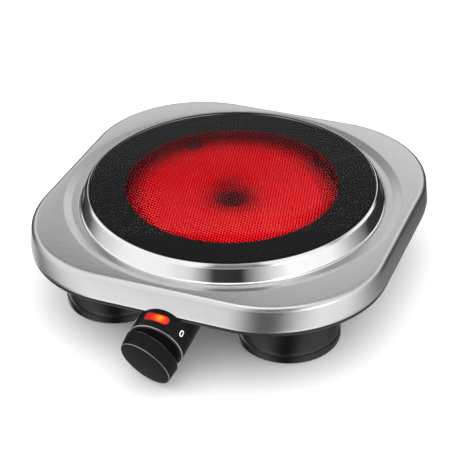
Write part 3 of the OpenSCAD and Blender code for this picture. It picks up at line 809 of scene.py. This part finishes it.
def control_housing():
    wall = 2 * MM
    tube = lathe("control_collar", fillet([
        (0, HOUSING_BACK, 0), (HOUSING_R, HOUSING_BACK, 0.6 * MM), (HOUSING_R, COLLAR_FRONT, 0.7 * MM),
        (5.1 * MM, COLLAR_FRONT, 0), (5.1 * MM, COLLAR_FRONT - wall, 0),
        (HOUSING_R - wall, COLLAR_FRONT - wall, 0.5 * MM), (HOUSING_R - wall, HOUSING_BACK + wall, 0.5 * MM),
        (0, HOUSING_BACK + wall, 0)], 5), 160, CONTROL)
    flange = box_mesh("flange", (-29 * MM, -106 * MM, Z_PAN - 2.5 * MM), (29 * MM, -84 * MM, Z_PAN))
    carve(tube, flange, "UNION")
    hollow_r = HOUSING_R - wall
    hollow = [Vector((0, HOUSING_BACK + wall)), Vector((hollow_r, HOUSING_BACK + wall)),
              Vector((hollow_r, COLLAR_FRONT - wall)), Vector((0, COLLAR_FRONT - wall))]
    carve(tube, lathe("bore", hollow, 128, CONTROL))
    carve(tube, box_mesh("pan_room", (-32 * MM, -115.8 * MM, Z_PAN), (32 * MM, -50 * MM, 0)))
    carve(tube, pill_mesh("pill_room", 0.12 * MM, 10 * MM, 25 * MM))
    return tube


def pill_outline(grow):
    n = 24
    reach = LENS_HALF_L - LENS_HALF_W
    r = LENS_HALF_W + grow
    points = []
    for side in (0, 1):
        for k in range(n + 1):
            a = -pi / 2 + side * pi + pi * k / n
            points.append(Vector(((1 - 2 * side) * reach + r * cos(a), r * sin(a))))
    return points


def pill_mesh(name, grow, y0, y1):
    ring = pill_outline(grow)
    n = len(ring)
    verts = [CONTROL @ Vector((p.x, y, LENS_ALONG - p.y)) for y in (y0, y1) for p in ring]
    faces = [list(range(n)), list(range(2 * n - 1, n - 1, -1))]
    faces += [(k, (k + 1) % n, n + (k + 1) % n, n + k) for k in range(n)]
    return mesh_object(name, verts, faces)


def lamp_lens():
    """A pill of clear plastic, domed over the collar's curve."""
    ring = pill_outline(0)
    n = len(ring)
    rings = 10
    verts, faces = [], []

    def point(p, share, top):
        radius = HOUSING_R + LENS_RISE * (1 - share ** 6) if top else HOUSING_R - 3 * MM
        q = p * share
        return CONTROL @ Vector((q.x, sqrt(radius ** 2 - q.x ** 2), LENS_ALONG - q.y))

    verts.append(point(ring[0], 0, True))
    for i in range(1, rings + 1):
        share = (i / rings) ** 0.6
        verts += [point(p, share, True) for p in ring]
    verts += [point(p, 1.0, False) for p in ring]
    for k in range(n):
        faces.append((0, 1 + k, 1 + (k + 1) % n))
    for i in range(rings):
        a = 1 + i * n
        faces += [(a + k, a + n + k, a + n + (k + 1) % n, a + (k + 1) % n) for k in range(n)]
    faces.append([1 + rings * n + k for k in range(n)])
    return mesh_object("lamp_lens_domed", verts, faces, sharp=50)


# ---------------------------------------------------------------- studio

# What the shiny parts mirror: how bright the tent is round the object, in degrees from the front
# towards the right, at the height of the object and below it
TENT_LEVEL = (
    (-180, 0.02), (-128, 0.02), (-104, 0.10), (-84, 0.75), (-60, 1.10), (-26, 1.12), (-8, 0.85), (8, 0.05),
    (27, 0.03), (44, 0.75), (60, 1.25), (92, 1.20), (112, 0.55), (134, 0.04), (180, 0.02),
)
TENT_BELOW = (
    (-180, 0.30), (-156, 0.12), (-134, 0.90), (-114, 1.00), (-101, 0.03), (-76, 0.03), (-52, 0.85),
    (-30, 1.65), (-12, 0.85), (4, 0.03), (25, 0.02), (42, 1.20), (64, 1.40), (96, 0.90), (130, 0.38),
    (160, 0.22), (180, 0.30),
)
# Boxes and cards higher up: from and to across, from and to up, softness of the edge, level
TENT_PATCHES = (
    ((-120, 120), (68, 120), 6, 2.0),
    ((0, 48), (22, 60), 6, 0.12),
    ((50, 72), (8, 20), 4, 5.0),
)
# The same, with across counted from the back towards the right
TENT_BACK = (
    ((-82, 75), (14, 32), 4, 1.17),
    ((-82, -20), (30, 72), 5, 0.30),
    ((-20, 75), (33, 72), 5, 0.53),
)
TENT_R = 2.5
ROOM_LEVEL = 1.65


class Tent(Nodes):
    """A light tent that only glossy surfaces see, so that they mirror soft boxes and dark cards."""

    def __init__(self):
        self.mat = bpy.data.materials.new("light_tent")
        self.mat.use_nodes = True
        self.tree = self.mat.node_tree
        self.tree.nodes.remove(self.tree.nodes["Principled BSDF"])
        self.mat.cycles.emission_sampling = "NONE"
        where = self.node("ShaderNodeTexCoord").outputs["Object"]
        unit = self.node("ShaderNodeVectorMath", where, operation="NORMALIZE").outputs[0]
        self.axes = self.node("ShaderNodeSeparateXYZ", unit).outputs

    def between(self, value, low, high, soft):
        smooth = {"interpolation_type": "SMOOTHSTEP"}
        up = self.node("ShaderNodeMapRange", value, low - soft, low + soft, 0.0, 1.0, **smooth)
        down = self.node("ShaderNodeMapRange", value, high - soft, high + soft, 1.0, 0.0, **smooth)
        return self.math("MULTIPLY", up.outputs[0], down.outputs[0])

    def blend(self, share, a, b):
        return self.math("ADD", self.math("MULTIPLY", a, self.math("SUBTRACT", 1.0, share)),
                         self.math("MULTIPLY", b, share))

    def round_level(self, across, stops):
        turn = self.span(across, -180.0, 180.0, 0.0, 1.0)
        top = max(level for _, level in stops)
        band = self.ramp(turn, *(((at + 180) / 360, (level / top,) * 3) for at, level in stops))
        return self.math("MULTIPLY", self.node("ShaderNodeSeparateColor", band).outputs[0], top)

    def make(self):
        x, y, z = self.axes
        degrees = 180 / pi
        front = self.math("MULTIPLY", self.math("ARCTAN2", x, self.math("MULTIPLY", y, -1.0)), degrees)
        rear = self.math("MULTIPLY", self.math("ARCTAN2", x, y), degrees)
        height = self.math("MULTIPLY", self.math("ARCSINE", z), degrees)
        low = self.span(height, -31.0, -26.0, 1.0, 0.0)
        level = self.blend(low, self.round_level(front, TENT_LEVEL), self.round_level(front, TENT_BELOW))
        sides = self.between(height, 16, 60, 6)
        level = self.blend(sides, level, 1.15)
        for patches, across in ((TENT_BACK, rear), (TENT_PATCHES, front)):
            for (a, b), (down, up), soft, power in patches:
                there = self.math("MULTIPLY", self.between(across, a, b, soft),
                                  self.between(height, down, up, soft))
                level = self.blend(there, level, power)
        glow = self.node("ShaderNodeEmission", level)
        self.put(self.tree.nodes["Material Output"].inputs[0], glow.outputs[0])
        mesh = bpy.data.meshes.new("light_tent")
        bm = bmesh.new()
        bmesh.ops.create_uvsphere(bm, u_segments=64, v_segments=32, radius=TENT_R)
        bm.to_mesh(mesh)
        bm.free()
        tent = link(bpy.data.objects.new("light_tent", mesh))
        mesh.materials.append(self.mat)
        tent.visible_camera = False
        tent.visible_diffuse = False
        tent.visible_transmission = False
        tent.visible_volume_scatter = False
        tent.visible_shadow = False
        tent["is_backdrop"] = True


def make_room():
    world = bpy.data.worlds.new("studio")
    bpy.context.scene.world = world
    world.use_nodes = True
    back = world.node_tree.nodes["Background"]
    back.inputs["Color"].default_value = (1, 1, 1, 1)
    back.inputs["Strength"].default_value = ROOM_LEVEL


def make_floor():
    size = 3.0
    corners = [(-size, -size, Z_TABLE), (size, -size, Z_TABLE), (size, size, Z_TABLE), (-size, size, Z_TABLE)]
    floor = mesh_object("floor", corners, [(0, 1, 2, 3)])
    s = Shade("floor_white", Roughness=0.8, Specular_IOR_Level=0.1)
    cloud = s.noise(s.where, 3, 2.0)
    s.set(Base_Color=s.ramp(cloud, (0.3, (0.93, 0.93, 0.93)), (0.7, (0.95, 0.95, 0.95))))
    floor.data.materials.append(s.mat)
    floor.visible_glossy = False
    floor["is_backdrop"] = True


# ---------------------------------------------------------------- build

make_camera()
make_room()
Tent().make()
bpy.context.scene.view_settings.view_transform = "Standard"
make_floor()

steel = brushed_steel()
trim = polished_trim()
plastic = black_plastic("foot_plastic", 0.27, 0.004, gloss=0.30, dome=0.34)
control = black_plastic("control_plastic", 0.32, 0.006)
knob_black = black_plastic("knob_plastic", 0.36, 0.006, ribs=150)
neck_black = black_plastic("neck_plastic", 0.5, 0.002, gloss=0.03)
sheen = edge_sheen("painted_rim_highlight")
pad_black = rubber("pad_rubber", (0.03, 0.03, 0.03))

own(top_cover(), "top_cover", steel)
own(trim_ring(), "trim_ring", trim)
blacken_edge(own(glass_plate(), "glass_plate", hob_glass()), mask_ink())
for end, sy in (("front", -1), ("rear", 1)):
    for side, sx in (("left", -1), ("right", 1)):
        x, y = sx * FOOT_AT[0], sy * FOOT_AT[1]
        own(foot(f"bell_foot_{end}_{side}", x, y), f"foot_{end}_{side}", plastic)
        own(foot_pad(f"rubber_pad_{end}_{side}", x, y), f"pad_{end}_{side}", pad_black)
collar = own(control_housing(), "control_housing", control)
# Painted highlight on the rims of the collar and the knob
dress_rims(collar, sheen, rims=((COLLAR_FRONT, HOUSING_R),))
dress_rims(own(knob_shell(), "knob_shell", knob_black, "knob"), sheen, SLANT,
           rims=((KNOB_FRONT, KNOB_TIP_R), (KNOB_REAR, KNOB_R)))
lens_middle = CONTROL @ Vector((0, HOUSING_R, LENS_ALONG))
own(lamp_lens(), "lamp_lens", lens_painted_glow(lens_middle + SIDE * BULB_OFF, SIDE, lens_middle))

hardware = plated("zinc_screws", (0.42, 0.43, 0.45), (0.62, 0.63, 0.65), 0.32)
sheet_zinc = plated("zinc_sheet", (0.45, 0.46, 0.48), (0.60, 0.61, 0.63), 0.36, 250)
dish = plated("aluminised_dish", (0.48, 0.48, 0.48), (0.64, 0.64, 0.64), 0.42, 180)
brass = plated("brass", (0.60, 0.42, 0.16), (0.78, 0.58, 0.26), 0.28)
white_clay = ceramic()
finishes = {
    mask_ink(): ["mask_print"],
    mesh_ink(): ["mesh_print"],
    board_painted_glow(): ["insulation_base"],
    insulation_wall_painted_glow(): ["insulation_rim", "limiter_probe"],
    hot_ribbon(): ["heating_ribbon"],
    rubber("seal_fibre", (0.30, 0.29, 0.27)): ["glass_seal"],
    sheet_zinc: ["carrier_ring", "cover_brackets"],
    dish: ["heater_dish", "heater_springs"],
    hardware: ["carrier_screws", "spring_rivets", "cover_screws", "foot_screws", "foot_nuts",
               "housing_screws", "housing_nuts", "regulator_shaft", "regulator_nut"],
    white_clay: ["limiter_switch", "heater_terminal", "regulator_body", "mains_block"],
    enamel(): ["base_plate"],
    control: ["lamp_holder", "cord_gland", "gland_nut"],
    neck_black: ["knob_hub"],
    neon_glow(): ["neon_lamp"],
    white_print(): ["dial_marks"],
    brass: ["regulator_tabs", "mains_block_screws", "earth_tag", "earth_screw"],
    rubber("sleeve_brown", (0.16, 0.07, 0.03)): ["wire_live"],
    rubber("sleeve_blue", (0.03, 0.10, 0.42)): ["wire_neutral"],
    rubber("sleeve_black", (0.02, 0.02, 0.02)): ["wire_switched"],
    rubber("sleeve_white", (0.70, 0.70, 0.68)): ["wire_limiter"],
    rubber("sleeve_earth", (0.25, 0.45, 0.04)): ["wire_earth"],
}
for material, names in finishes.items():
    for name in names:
        mesh = nodes[name].data
        mesh.materials.clear()
        mesh.materials.append(material)

# Mirror rays see the tent, the trim ring and the glass only: other pieces would darken the trim in blotches
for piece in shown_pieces():
    piece.visible_glossy = piece.name in ("trim_ring_turned", "glass_ceramic_plate")
